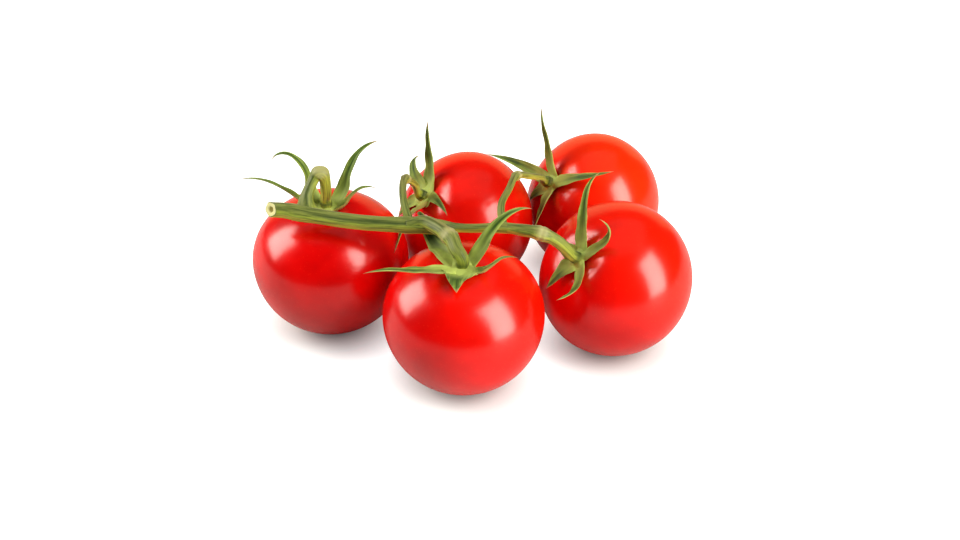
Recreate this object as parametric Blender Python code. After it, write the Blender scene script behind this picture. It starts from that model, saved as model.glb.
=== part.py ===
# A truss of five cocktail tomatoes lying on a flat surface: five fruits, the five green
# calyxes on them, five fruit stalks and the main stem that carries them.
# Lengths are in millimetres and angles in degrees until a mesh is written, in metres.
# The truss runs along +X, its cut stem end is at -X, and +Z is up from the surface.

import math

import bmesh
import bpy
import numpy as np
from mathutils import Matrix

MM = 0.001

# ---- Driving dimensions ----------------------------------------------------------------

GAP = 0.3                  # clearance between two pieces that meet

FRUIT_RADIUS = 22.4        # largest fruit, across its equator
TOP_SHARE = 0.83           # shoulder height over radius
BOTTOM_SHARE = 0.978       # height below the equator over radius
SQUARENESS = 0.95          # under 1 makes the outline fuller than an ellipse
DIMPLE_DEPTH = 2.2         # hollow at the stem end
DIMPLE_RADIUS = 5.4        # how far that hollow spreads
REST_SINK = 0.25           # how much a ripe fruit flattens where it rests
FRUIT_SEGMENTS = 28
FRUIT_RINGS = 16
OUTLINE_STEPS = 180        # steps in the outline that places and seats are worked out from

HUB_RADIUS = 2.3           # the disc of a calyx, where its sepals join
HUB_THICKNESS = 0.8
SEPAL_LENGTH = 1.0         # multiplies every sepal's own length
SEPAL_THICKNESS = 0.8
SEPAL_TIP_WIDTH = 0.7
SEPAL_STATIONS = 9
CHANNEL_SHARE = 0.2        # how far a sepal's middle lies below its edges, over half its width

STEM_CUT_RADIUS = 2.15     # main stem at its cut end
STEM_FAR_RADIUS = 1.5      # main stem where the last stalk takes over
STEM_SIDES = 10

STALK_RADIUS = 1.3         # a fruit stalk between its root and its knuckle
STALK_END_RADIUS = 1.6     # a fruit stalk where it meets the calyx
KNUCKLE_SWELL = 0.45       # extra radius at the knuckle, where a ripe fruit snaps off
KNUCKLE_SPREAD = 1.8       # how far along the stalk that swelling reaches
STALK_SIDES = 8
CURVE_STEPS = 5            # rings between two route points

# Each fruit stands next to an earlier one: "beside" names it, "toward" is the direction in
# plan, and "spacing" is the free distance between their widest circles, below zero where a
# flat shoulder makes room. "lean" tips the stem end from upright, towards "heading".
FRUITS = {
    "front": {"smaller": 0.3, "lean": 10, "heading": -95},
    "left": {"smaller": 0.0, "lean": 5, "heading": -95,
             "beside": "front", "toward": 143, "spacing": 3.7},
    "right": {"smaller": 0.3, "lean": 50, "heading": -145,
              "beside": "front", "toward": 23, "spacing": 1.3},
    "rear_right": {"smaller": 1.1, "lean": 56, "heading": -156,
                   "beside": "right", "toward": 94.5, "spacing": 2.2},
    "rear_middle": {"smaller": 1.2, "lean": 48, "heading": -154,
                    "beside": "rear_right", "toward": 196.5, "spacing": -1.6},
}

# Sepals of each calyx: azimuth round the stem end, length, widest width, sideways bend from
# base to tip, and the angles at which it rises above the fruit's shoulder, base to tip.
SEPALS = {
    "left": [
        (284, 25.0, 3.4, 0, (35, 45, 30, -10)),
        (236, 25.0, 3.8, 35, (30, 90, 30, -75)),
        (132, 24.0, 4.8, -15, (35, 75, 50, -5)),
        (84, 16.0, 2.8, 5, (20, 60, 35, -25)),
        (6, 7.0, 3.4, 10, (30, 20, 10, 0)),
    ],
    "front": [
        (306, 26.0, 4.2, -20, (25, 20, 20, -10)),
        (212, 25.0, 4.2, 0, (15, -15, 35, -60)),
        (126, 24.5, 4.8, -5, (45, 60, 25, -35)),
        (66, 16.5, 2.8, 15, (0, 50, 50, -10)),
        (352, 9.0, 5.2, 15, (30, 20, 0, -25)),
    ],
    "right": [
        (192, 23.5, 4.2, 5, (30, 30, 15, -50)),
        (136, 21.0, 3.2, 15, (15, 15, 60, 95)),
        (52, 19.0, 3.4, -20, (5, 30, 55, 60)),
        (348, 10.0, 4.6, 0, (40, 10, 0, 0)),
        (264, 7.5, 3.6, 0, (60, 45, 0, -60)),
    ],
    "rear_right": [
        (201, 20.0, 3.8, -5, (40, 35, 45, 15)),
        (271, 21.0, 4.4, 25, (25, 25, 25, 25)),
        (119, 20.5, 4.4, 25, (20, 0, -20, -25)),
        (337, 7.5, 4.0, -5, (30, 10, -5, -30)),
        (45, 13.5, 4.2, 0, (30, 20, 20, 15)),
    ],
    "rear_middle": [
        (248, 15.5, 3.8, -15, (35, 25, -10, -55)),
        (198, 21.5, 4.2, -15, (15, 40, 45, 35)),
        (112, 14.5, 4.0, -40, (30, 10, -5, -10)),
        (54, 27.0, 4.2, -5, (45, 40, 15, 5)),
        (328, 9.5, 4.2, 10, (35, 0, -15, -25)),
    ],
}

# The main stem's route, as offsets from the calyx of the fruit that each point belongs to.
MAIN_ROUTE = [
    ("left", (-14.0, -10.0, 5.0)),
    ("left", (-10.0, -10.5, 5.0)),
    ("left", (-6.0, -11.0, 4.5)),
    ("left", (1.0, -12.5, 4.0)),
    ("left", (8.0, -14.5, 4.0)),
    ("front", (-22.5, 15.0, 4.5)),
    ("front", (-14.5, 14.0, 4.7)),
    ("front", (-6.0, 12.5, 5.0)),
    ("front", (2.0, 12.5, 4.5)),
    ("right", (-21.0, -1.5, 10.5)),
    ("right", (-15.0, -3.5, 11.0)),
]

# Each fruit stalk leaves the main stem at one of its route points, "root", and passes
# through points given as offsets from its own calyx. "knuckle" is the point that swells.
STALKS = {
    "left": {"root": 2, "knuckle": 2,
             "route": [(-4.0, -7.0, 8.5), (-2.0, -4.5, 12.0), (-0.5, -4.5, 13.5),
                       (0.5, -4.0, 11.5), (0.5, -2.5, 6.0)]},
    "front": {"root": 7, "knuckle": 0,
              "route": [(-3.5, 5.5, 6.0), (-1.5, 1.0, 4.5)]},
    "right": {"root": 10, "knuckle": 0,
              "route": [(-10.5, -4.5, 10.5), (-6.0, -3.5, 7.5)]},
    "rear_right": {"root": 9, "knuckle": 2,
                   "route": [(-16.5, -44.0, 17.0), (-14.5, -36.0, 17.5), (-11.5, -26.0, 16.5),
                             (-7.0, -17.0, 11.5), (-3.5, -7.5, 6.0)]},
    "rear_middle": {"root": 6, "knuckle": 2,
                    "route": [(-4.5, -29.5, 15.0), (-5.0, -21.5, 15.5), (-4.5, -15.0, 14.0),
                              (-2.5, -7.0, 8.0)]},
}

FRUIT_COLOUR = (0.62, 0.012, 0.006, 1.0)
LEAF_COLOUR = (0.13, 0.24, 0.035, 1.0)
STEM_COLOUR = (0.20, 0.29, 0.05, 1.0)


# ---- Scene helpers ---------------------------------------------------------------------

def clear_scene():
    for old in list(bpy.data.objects):
        bpy.data.objects.remove(old, do_unlink=True)


def make_material(name, colour, roughness):
    material = bpy.data.materials.new(name)
    material.use_nodes = True
    shader = material.node_tree.nodes["Principled BSDF"]
    shader.inputs["Base Color"].default_value = colour
    shader.inputs["Roughness"].default_value = roughness
    shader.inputs["Metallic"].default_value = 0.0
    return material


def add_object(name, points, faces, colour, roughness):
    """Makes one smooth-shaded mesh object from points in millimetres."""
    mesh = bpy.data.meshes.new(name)
    mesh.from_pydata([tuple(float(c) * MM for c in p) for p in points], [], faces)
    mesh.update()
    piece = bpy.data.objects.new(name, mesh)
    bpy.context.scene.collection.objects.link(piece)
    mesh.materials.append(make_material(name + "_material", colour, roughness))
    mesh.shade_smooth()
    mesh.set_sharp_from_angle(angle=math.radians(50))
    return piece


# ---- Fruits ----------------------------------------------------------------------------

def fruit_radius(fruit):
    return FRUIT_RADIUS - fruit["smaller"]


def fruit_turn(fruit):
    """Turns a fruit's own axes, stem end along +Z, to how it lies."""
    heading = Matrix.Rotation(math.radians(fruit["heading"]), 3, "Z")
    lean = Matrix.Rotation(math.radians(fruit["lean"]), 3, "Y")
    return np.array(heading @ lean)


def fruit_profile(radius, rings):
    """Outline from the stem end to the blossom end: distances from the axis and heights."""
    angle = np.linspace(0.0, math.pi, rings + 1)
    outward = radius * np.sin(angle).clip(0.0) ** SQUARENESS
    upper = np.cos(angle) > 0
    height = radius * np.cos(angle) * np.where(upper, TOP_SHARE, BOTTOM_SHARE)
    height = height - DIMPLE_DEPTH * np.exp(-((outward / DIMPLE_RADIUS) ** 2)) * upper
    return outward, height


def ring_points(outward, height, segments):
    around = np.linspace(0.0, 2 * math.pi, segments, endpoint=False)
    return np.stack([outward * np.cos(around), outward * np.sin(around),
                     np.full(segments, height)], axis=1)


def fruit_centre(fruit, place):
    """The centre of a fruit whose lowest point presses into the surface by REST_SINK."""
    outward, height = fruit_profile(fruit_radius(fruit), OUTLINE_STEPS)
    lean = math.radians(fruit["lean"])
    lowest = np.min(height * math.cos(lean) - outward * math.sin(lean))
    return np.array([place[0], place[1], -lowest - REST_SINK])


def place_fruits():
    places = {}
    for name, fruit in FRUITS.items():
        if "beside" not in fruit:
            places[name] = np.zeros(2)
            continue
        other = FRUITS[fruit["beside"]]
        away = fruit_radius(other) + fruit_radius(fruit) + fruit["spacing"]
        toward = math.radians(fruit["toward"])
        step = away * np.array([math.cos(toward), math.sin(toward)])
        places[name] = places[fruit["beside"]] + step
    return {name: fruit_centre(fruit, places[name]) for name, fruit in FRUITS.items()}


def calyx_height(fruit):
    """Height of a calyx disc's middle above the fruit's centre, clear of the dimple."""
    outward, height = fruit_profile(fruit_radius(fruit), OUTLINE_STEPS)
    upper = slice(0, OUTLINE_STEPS // 2)
    seat = float(np.interp(HUB_RADIUS, outward[upper], height[upper]))
    return seat + GAP + HUB_THICKNESS / 2


def make_fruit(name, fruit, centre):
    outward, height = fruit_profile(fruit_radius(fruit), FRUIT_RINGS)
    turn = fruit_turn(fruit)
    points = [[0.0, 0.0, height[0]]]
    for ring in range(1, FRUIT_RINGS):
        points.extend(ring_points(outward[ring], height[ring], FRUIT_SEGMENTS))
    points.append([0.0, 0.0, height[-1]])
    points = np.array(points) @ turn.T + centre
    faces = []
    last = len(points) - 1
    for k in range(FRUIT_SEGMENTS):
        after = (k + 1) % FRUIT_SEGMENTS
        faces.append((0, 1 + k, 1 + after))
        for ring in range(FRUIT_RINGS - 2):
            a = 1 + ring * FRUIT_SEGMENTS
            b = a + FRUIT_SEGMENTS
            faces.append((a + k, b + k, b + after, a + after))
        low = last - FRUIT_SEGMENTS
        faces.append((last, low + after, low + k))
    piece = add_object("tomato_" + name, points, faces, FRUIT_COLOUR, 0.18)
    flatten_underside(piece.data)


def flatten_underside(mesh):
    """Cuts off what is below the surface and closes it with one flat resting face."""
    shape = bmesh.new()
    shape.from_mesh(mesh)
    everything = shape.verts[:] + shape.edges[:] + shape.faces[:]
    cut = bmesh.ops.bisect_plane(shape, geom=everything, dist=1e-7, plane_co=(0, 0, 0),
                                 plane_no=(0, 0, 1), clear_inner=True)
    rim = [part for part in cut["geom_cut"] if isinstance(part, bmesh.types.BMEdge)]
    bmesh.ops.holes_fill(shape, edges=rim, sides=0)
    bmesh.ops.recalc_face_normals(shape, faces=shape.faces[:])
    shape.to_mesh(mesh)
    shape.free()


# ---- Calyxes ---------------------------------------------------------------------------

def clear_of_fruits(point, margin, centres):
    """Moves a sepal's point outwards to where the sepal only lies on a fruit, if it is inside."""
    for name, fruit in FRUITS.items():
        turn = fruit_turn(fruit)
        local = turn.T @ (point - centres[name])
        outward, height = fruit_profile(fruit_radius(fruit), OUTLINE_STEPS)
        angle = math.atan2(math.hypot(local[0], local[1]), local[2])
        skin = np.interp(angle, np.arctan2(outward, height), np.hypot(outward, height))
        reach = np.linalg.norm(local)
        if reach < skin + margin:
            point = centres[name] + turn @ (local * (skin + margin) / reach)
    return point


def sepal_sections(sepal, seat, turn, centres):
    """Six-sided sections along a sepal: a shallow channel that narrows to the tip."""
    azimuth, length, width, bend, rises = sepal
    length = length * SEPAL_LENGTH
    share = np.linspace(0.0, 1.0, SEPAL_STATIONS)
    fine = np.linspace(0.0, 1.0, 8 * (SEPAL_STATIONS - 1) + 1)
    rise = np.radians(np.interp(fine, np.linspace(0, 1, len(rises)), rises))
    facing = np.radians(azimuth + bend * fine)
    heading = np.stack([np.cos(rise) * np.cos(facing), np.cos(rise) * np.sin(facing),
                        np.sin(rise)], axis=1)
    steps = (heading[1:] + heading[:-1]) / 2 * length / (len(fine) - 1)
    start = HUB_RADIUS * heading_at(azimuth)
    path = np.vstack([start, start + np.cumsum(steps, axis=0)])[::8]
    facing = facing[::8]
    rise = rise[::8]
    sections = []
    for k in range(1, SEPAL_STATIONS):
        half = max(width * (1.0 - share[k] ** 1.4), SEPAL_TIP_WIDTH) / 2
        trough = half * CHANNEL_SHARE
        margin = SEPAL_THICKNESS / 2 + trough + GAP
        middle = clear_of_fruits(seat + turn @ path[k], margin, centres)
        side = turn @ np.array([-math.sin(facing[k]), math.cos(facing[k]), 0.0])
        out = turn @ np.array([-math.sin(rise[k]) * math.cos(facing[k]),
                               -math.sin(rise[k]) * math.sin(facing[k]), math.cos(rise[k])])
        up = out * SEPAL_THICKNESS / 2
        low = middle - out * trough
        sections.append([middle + side * half + up, low + up, middle - side * half + up,
                         middle - side * half - up, low - up, middle + side * half - up])
    return sections


def heading_at(azimuth):
    return np.array([math.cos(math.radians(azimuth)), math.sin(math.radians(azimuth)), 0.0])


def make_calyx(name, fruit, centre, centres):
    """A disc with a corner between every two sepals; each of its sides runs on as a sepal."""
    turn = fruit_turn(fruit)
    seat = centre + turn[:, 2] * calyx_height(fruit)
    sepals = sorted(SEPALS[name], key=lambda sepal: sepal[0])
    count = len(sepals)
    corners = []
    for k, sepal in enumerate(sepals):
        before = sepals[k - 1][0] - (360 if k == 0 else 0)
        corners.append(heading_at((before + sepal[0]) / 2))
        corners.append(heading_at(sepal[0]))
    rim = HUB_RADIUS * np.array(corners)
    lift = np.array([0.0, 0.0, HUB_THICKNESS / 2])
    points = list(seat + (rim + lift) @ turn.T) + list(seat + (rim - lift) @ turn.T)
    around = 2 * count
    faces = [tuple(range(around)), tuple(range(2 * around - 1, around - 1, -1))]
    for k, sepal in enumerate(sepals):
        right, middle, left = 2 * k, 2 * k + 1, (2 * k + 2) % around
        ring = [left, middle, right, right + around, middle + around, left + around]
        for section in sepal_sections(sepal, seat, turn, centres):
            first = len(points)
            points.extend(section)
            following = list(range(first, first + 6))
            for side in range(6):
                after = (side + 1) % 6
                faces.append((ring[side], ring[after], following[after], following[side]))
            ring = following
        faces.append(tuple(ring))
    piece = add_object("calyx_" + name, np.array(points), faces, LEAF_COLOUR, 0.55)
    turn_faces_out(piece.data)
    return seat


def turn_faces_out(mesh):
    shape = bmesh.new()
    shape.from_mesh(mesh)
    bmesh.ops.triangulate(shape, faces=shape.faces[:])
    bmesh.ops.recalc_face_normals(shape, faces=shape.faces[:])
    shape.to_mesh(mesh)
    shape.free()


# ---- Stems -----------------------------------------------------------------------------

def smooth_curve(route):
    """A Catmull-Rom curve through the route, with CURVE_STEPS rings between two points."""
    route = np.array(route, dtype=float)
    route = np.vstack([2 * route[0] - route[1], route, 2 * route[-1] - route[-2]])
    curve = []
    for k in range(1, len(route) - 2):
        a, b, c, d = route[k - 1:k + 3]
        for u in np.linspace(0.0, 1.0, CURVE_STEPS, endpoint=False):
            curve.append(0.5 * (2 * b + (c - a) * u + (2 * a - 5 * b + 4 * c - d) * u ** 2
                                + (3 * b - a - 3 * c + d) * u ** 3))
    curve.append(route[-2])
    return np.array(curve)


def make_tube(name, curve, radii, sides, colour, end_facing=None):
    """A closed tube along a curve, its rings carried on from one to the next untwisted."""
    along = np.gradient(curve, axis=0)
    along /= np.linalg.norm(along, axis=1)[:, None]
    if end_facing is not None:
        along[-1] = end_facing
    side = np.cross(along[0], (0.0, 0.0, 1.0))
    points = []
    for k in range(len(curve)):
        side = side - along[k] * np.dot(side, along[k])
        side /= np.linalg.norm(side)
        other = np.cross(along[k], side)
        around = np.linspace(0.0, 2 * math.pi, sides, endpoint=False)
        ring = np.outer(np.cos(around), side) + np.outer(np.sin(around), other)
        points.extend(curve[k] + radii[k] * ring)
    faces = [tuple(range(sides - 1, -1, -1))]
    for k in range(len(curve) - 1):
        for s in range(sides):
            after = (s + 1) % sides
            a, b = k * sides, (k + 1) * sides
            faces.append((a + s, a + after, b + after, b + s))
    faces.append(tuple(range((len(curve) - 1) * sides, len(curve) * sides)))
    return add_object(name, np.array(points), faces, colour, 0.5)


def distance_along(curve):
    steps = np.linalg.norm(np.diff(curve, axis=0), axis=1)
    return np.concatenate([[0.0], np.cumsum(steps)])


def make_main_stem(route):
    """The main stem, and a cutter one clearance larger all round."""
    curve = smooth_curve(route)
    share = distance_along(curve) / distance_along(curve)[-1]
    radii = STEM_CUT_RADIUS + (STEM_FAR_RADIUS - STEM_CUT_RADIUS) * share
    make_tube("main_stem", curve, radii, STEM_SIDES, STEM_COLOUR)
    grown = curve.copy()
    for end, inner in ((0, 1), (-1, -2)):
        outward = grown[end] - grown[inner]
        grown[end] = grown[end] + outward / np.linalg.norm(outward) * GAP
    cutter = make_tube("main_stem_clearance", grown, radii + GAP, STEM_SIDES, STEM_COLOUR)
    cutter.hide_render = True
    cutter.display_type = "WIRE"
    return cutter


def make_stalk(name, fruit, seat, main_route, cutter):
    """A stalk from inside the main stem to just above its calyx, cut to fit the stem."""
    stalk = STALKS[name]
    axis = fruit_turn(fruit)[:, 2]
    end = seat + axis * (HUB_THICKNESS / 2 + GAP)
    route = [main_route[stalk["root"]]]
    route += [seat + np.array(offset) for offset in stalk["route"]]
    route += [end + axis * 1.5 * STALK_END_RADIUS, end]
    curve = smooth_curve(route)
    along = distance_along(curve)
    knuckle = along[(stalk["knuckle"] + 1) * CURVE_STEPS]
    swell = KNUCKLE_SWELL * np.exp(-(((along - knuckle) / KNUCKLE_SPREAD) ** 2))
    widening = np.clip(1.0 - (along[-1] - along) / (3.0 * STALK_END_RADIUS), 0.0, 1.0) ** 2
    radii = STALK_RADIUS + swell + (STALK_END_RADIUS - STALK_RADIUS) * widening
    piece = make_tube("stalk_" + name, curve, radii, STALK_SIDES, STEM_COLOUR, -axis)
    fit = piece.modifiers.new("fit_to_main_stem", "BOOLEAN")
    fit.operation = "DIFFERENCE"
    fit.solver = "EXACT"
    fit.object = cutter


# ---- The truss -------------------------------------------------------------------------

def centre_on_origin():
    """Puts the middle of the truss's footprint at the origin, with the surface at zero."""
    bpy.context.view_layer.update()
    pieces = [piece for piece in bpy.data.objects if piece.type == "MESH"]
    shown = [piece for piece in pieces if not piece.hide_render]
    corners = np.array([tuple(vertex.co) for piece in shown for vertex in piece.data.vertices])
    middle = (corners.min(axis=0) + corners.max(axis=0)) / 2
    holder = bpy.data.objects.new("truss", None)
    bpy.context.scene.collection.objects.link(holder)
    holder.location = (-middle[0], -middle[1], 0.0)
    for piece in pieces:
        piece.parent = holder


def build_truss():
    clear_scene()
    centres = place_fruits()
    seats = {}
    for name, fruit in FRUITS.items():
        make_fruit(name, fruit, centres[name])
        seats[name] = make_calyx(name, fruit, centres[name], centres)
    main_route = [seats[name] + np.array(offset) for name, offset in MAIN_ROUTE]
    cutter = make_main_stem(main_route)
    for name, fruit in FRUITS.items():
        make_stalk(name, fruit, seats[name], main_route, cutter)
    centre_on_origin()


build_truss()
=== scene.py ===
import math

import bpy
import numpy as np
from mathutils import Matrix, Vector


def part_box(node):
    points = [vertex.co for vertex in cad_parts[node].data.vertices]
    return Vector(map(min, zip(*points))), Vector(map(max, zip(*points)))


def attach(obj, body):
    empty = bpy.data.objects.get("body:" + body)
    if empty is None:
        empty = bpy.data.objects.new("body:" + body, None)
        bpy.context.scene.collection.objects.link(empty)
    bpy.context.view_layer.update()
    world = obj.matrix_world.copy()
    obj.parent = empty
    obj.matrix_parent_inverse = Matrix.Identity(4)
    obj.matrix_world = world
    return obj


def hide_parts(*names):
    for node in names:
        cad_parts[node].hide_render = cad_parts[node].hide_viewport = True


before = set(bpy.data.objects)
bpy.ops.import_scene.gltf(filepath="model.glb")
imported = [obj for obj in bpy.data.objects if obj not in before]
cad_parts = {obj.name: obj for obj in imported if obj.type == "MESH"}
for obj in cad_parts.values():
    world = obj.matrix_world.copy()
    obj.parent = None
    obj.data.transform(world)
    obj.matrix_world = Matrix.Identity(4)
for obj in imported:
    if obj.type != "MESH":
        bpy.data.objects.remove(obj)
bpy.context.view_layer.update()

# A truss of five cocktail tomatoes on the vine. The CAD frame says where each fruit lies; the skins, calyxes
# and stems are worked out again here, finer, round the same places. Lengths are in millimetres and angles in
# degrees until a mesh is written, in metres.
mm = 0.001


def hexColour(code):
    # sRGB hex to linear: c / 12.92 below 0.04045, else ((c + 0.055) / 1.055) to the power 2.4
    share = np.array([int(code[k:k + 2], 16) / 255 for k in (1, 3, 5)])
    linear = np.where(share <= 0.04045, share / 12.92, ((share + 0.055) / 1.055) ** 2.4)
    return (*map(float, linear), 1.0)


def addNode(tree, kind, settings=None, links=None):
    # adds one node; a setting is a property, an input's own value or a ramp's stops, a link is input: output
    node = tree.nodes.new(kind)
    for key, value in (settings or {}).items():
        if key == "stops":
            ramp = node.color_ramp
            while len(ramp.elements) < len(value):
                ramp.elements.new(0.5)
            for stop, (place, colour) in zip(ramp.elements, value):
                stop.position = place
                stop.color = colour
        elif isinstance(key, str) and hasattr(node, key):
            setattr(node, key, value)
        else:
            node.inputs[key].default_value = value
    for key, output in (links or {}).items():
        tree.links.new(output, node.inputs[key])
    return node


def smoothStep(value, low, high):
    # 0 up to low, 1 from high on, and 3s^2 - 2s^3 of the share s of the way in between
    share = np.clip((value - low) / (high - low), 0.0, 1.0)
    return share * share * (3.0 - 2.0 * share)


def bell(distance, spread):
    # 1 where the distance is 0, falling off as exp(-(distance / spread)^2)
    return np.exp(-((distance / spread) ** 2))


def tubePart(rings, marks):
    # a closed skin over a grid of points: ring by ring, each ring's last point joined to its first, and a
    # pole at the mean of either end ring closed with a fan of triangles; marks are carried the same way
    rows, columns = rings.shape[:2]
    here = np.arange(columns)
    after = (here + 1) % columns
    first = 1 + np.arange(rows - 1)[:, None] * columns
    quads = np.stack([first + here, first + after, first + columns + after, first + columns + here], axis=-1)
    endRow = 1 + (rows - 1) * columns
    endPole = endRow + columns
    startFan = np.stack([np.zeros_like(here), 1 + after, 1 + here], axis=-1)
    endFan = np.stack([np.full_like(here, endPole), endRow + here, endRow + after], axis=-1)

    def flat(values):
        return np.vstack([values[0].mean(axis=0), values.reshape(-1, 3), values[-1].mean(axis=0)])

    return {
        "points": flat(rings),
        "quads": quads.reshape(-1, 4),
        "fans": np.vstack([startFan, endFan]),
        "marks": {name: flat(values) for name, values in marks.items()},
    }


def addPiece(name, parts, materials, slotOf=None):
    # one smooth mesh from all the parts, in metres and in place, with each mark as a vector attribute
    points, faces, start = [], [], 0
    for part in parts:
        points.append(part["points"] * mm)
        faces += (part["quads"] + start).tolist() + (part["fans"] + start).tolist()
        start += len(part["points"])
    mesh = bpy.data.meshes.new(name)
    mesh.from_pydata(np.vstack(points).tolist(), [], faces)
    for mark in parts[0]["marks"]:
        values = np.vstack([part["marks"][mark] for part in parts])
        layer = mesh.attributes.new(mark, "FLOAT_VECTOR", "POINT")
        layer.data.foreach_set("vector", values.ravel().astype(np.float32))
    for material in materials:
        mesh.materials.append(material)
    if slotOf is not None:
        mesh.polygons.foreach_set("material_index", slotOf(faces))
    mesh.shade_smooth()
    mesh.update()
    piece = bpy.data.objects.new(name, mesh)
    bpy.context.scene.collection.objects.link(piece)
    return piece


# ripe tomato skin: a thin, clear wax cuticle over red flesh, grown, not made. It gives deep, even red with
# clean soft highlights, some orange of the fruit's own laid as painted light on its lit right and upper side,
# and specks finer than a pinprick.
skin = {
    "deep": "#D20000",
    "ripe": "#F00300",
    "orange": "#FF4A06",
    "speck": "#FF5A28",
    "scar": "#8A6A3A",
    "bloom": "#FF7A28",  # the wax bloom that shows at a glancing angle
    "patch": 14.0,  # mm across a patch of riper or paler skin
    "speckSpacing": 1.1,  # mm between specks, drawn coarser than the real half millimetre so that they show
    "waviness": 6.0,  # mm across the skin's faint unevenness
    "pore": 0.6,  # mm across its finest grain
    "roughness": 0.22,
}


def makeSkinMaterial():
    # colour = deep red to ripe red by patch, then towards orange on the right and upper side as painted
    # light, then specks and the scar
    material = bpy.data.materials.new("ripeTomatoSkin")
    material.use_nodes = True
    tree = material.node_tree
    shader = tree.nodes["Principled BSDF"]
    place = addNode(tree, "ShaderNodeTexCoord").outputs["Object"]
    fruit = addNode(tree, "ShaderNodeAttribute", {"attribute_name": "fruitPlace"}).outputs["Vector"]
    litToneAndScar = addNode(tree, "ShaderNodeAttribute", {"attribute_name": "fruitTone"}).outputs["Vector"]
    parts = addNode(tree, "ShaderNodeSeparateXYZ", links={0: litToneAndScar})
    patches = addNode(tree, "ShaderNodeTexNoise",
                      {"Scale": 1 / (skin["patch"] * mm), "Detail": 3.0, "Roughness": 0.5}, {"Vector": place})
    base = addNode(tree, "ShaderNodeValToRGB",
                   {"stops": [(0.32, hexColour(skin["deep"])), (0.68, hexColour(skin["ripe"]))]},
                   {"Fac": patches.outputs["Fac"]})
    # painted light: towards orange by the lit-side share held in the tone's X
    warmer = addNode(tree, "ShaderNodeMix", {"data_type": "RGBA", 7: hexColour(skin["orange"])},
                     {0: parts.outputs["X"], 6: base.outputs["Color"]})
    cells = addNode(tree, "ShaderNodeTexVoronoi",
                    {"Scale": 1 / (skin["speckSpacing"] * mm)}, {"Vector": place})
    specks = addNode(tree, "ShaderNodeMapRange",
                     {"From Min": 0.06, "From Max": 0.2, "To Min": 0.15, "To Max": 0.0},
                     {"Value": cells.outputs["Distance"]})
    speckled = addNode(tree, "ShaderNodeMix", {"data_type": "RGBA", 7: hexColour(skin["speck"])},
                       {0: specks.outputs["Result"], 6: warmer.outputs[2]})
    scarred = addNode(tree, "ShaderNodeMix", {"data_type": "RGBA", 7: hexColour(skin["scar"])},
                      {0: parts.outputs["Y"], 6: speckled.outputs[2]})
    uneven = addNode(tree, "ShaderNodeTexNoise",
                     {"Scale": 1 / (skin["waviness"] * mm), "Detail": 2.0}, {"Vector": place})
    gloss = addNode(tree, "ShaderNodeMapRange",
                    {"To Min": skin["roughness"] - 0.04, "To Max": skin["roughness"] + 0.06},
                    {"Value": patches.outputs["Fac"]})
    pores = addNode(tree, "ShaderNodeTexNoise",
                    {"Scale": 1 / (skin["pore"] * mm), "Detail": 2.0}, {"Vector": fruit})
    wave = addNode(tree, "ShaderNodeBump", {"Strength": 0.12, "Distance": 0.25 * mm},
                   {"Height": uneven.outputs["Fac"]})
    bump = addNode(tree, "ShaderNodeBump", {"Strength": 0.04, "Distance": 0.05 * mm},
                   {"Height": pores.outputs["Fac"], "Normal": wave.outputs["Normal"]})
    tree.links.new(scarred.outputs[2], shader.inputs["Base Color"])
    tree.links.new(gloss.outputs["Result"], shader.inputs["Roughness"])
    tree.links.new(bump.outputs["Normal"], shader.inputs["Normal"])
    shader.inputs["IOR"].default_value = 1.42
    shader.inputs["Specular IOR Level"].default_value = 0.85
    shader.inputs["Sheen Weight"].default_value = 0.06
    shader.inputs["Sheen Roughness"].default_value = 0.3
    shader.inputs["Sheen Tint"].default_value = hexColour(skin["bloom"])
    shader.inputs["Subsurface Weight"].default_value = 0.12
    shader.inputs["Subsurface Radius"].default_value = (1.0, 0.15, 0.08)
    shader.inputs["Subsurface Scale"].default_value = 2.5 * mm
    return material


# green parts: leaf tissue and stem bark with short soft hairs. They give matt, slightly velvety greens with
# lengthwise fibres; young growth and the sepals' undersides are yellower, the stems are painted lighter and
# yellower underneath as bounce light, and dead tips dry to tan.
leaf = {
    "dark": "#334F18",
    "green": "#6C8832",
    "edge": "#ACBC66",
    "base": "#B4C468",
    "under": "#A0AE62",
    "tip": "#B0906A",
    "fibre": 0.8,  # mm between two veins
    "fibreLength": 9.0,  # mm along a vein before it fades
    "blotch": 3.0,  # mm across a lighter or darker blotch
    "roughness": 0.6,
}
bark = {
    "top": "#828C48",
    "side": "#9FAC46",
    "under": "#C2C44C",
    "streak": "#34491F",
    "knuckle": "#C2BE88",
    "fibre": 0.55,
    "fibreLength": 12.0,
    "blotch": 4.0,
    "roughness": 0.5,
}
cut = {"rind": "#8FA544", "ring": "#E4DEA0", "pith": "#857A22", "pore": 0.35}


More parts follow.
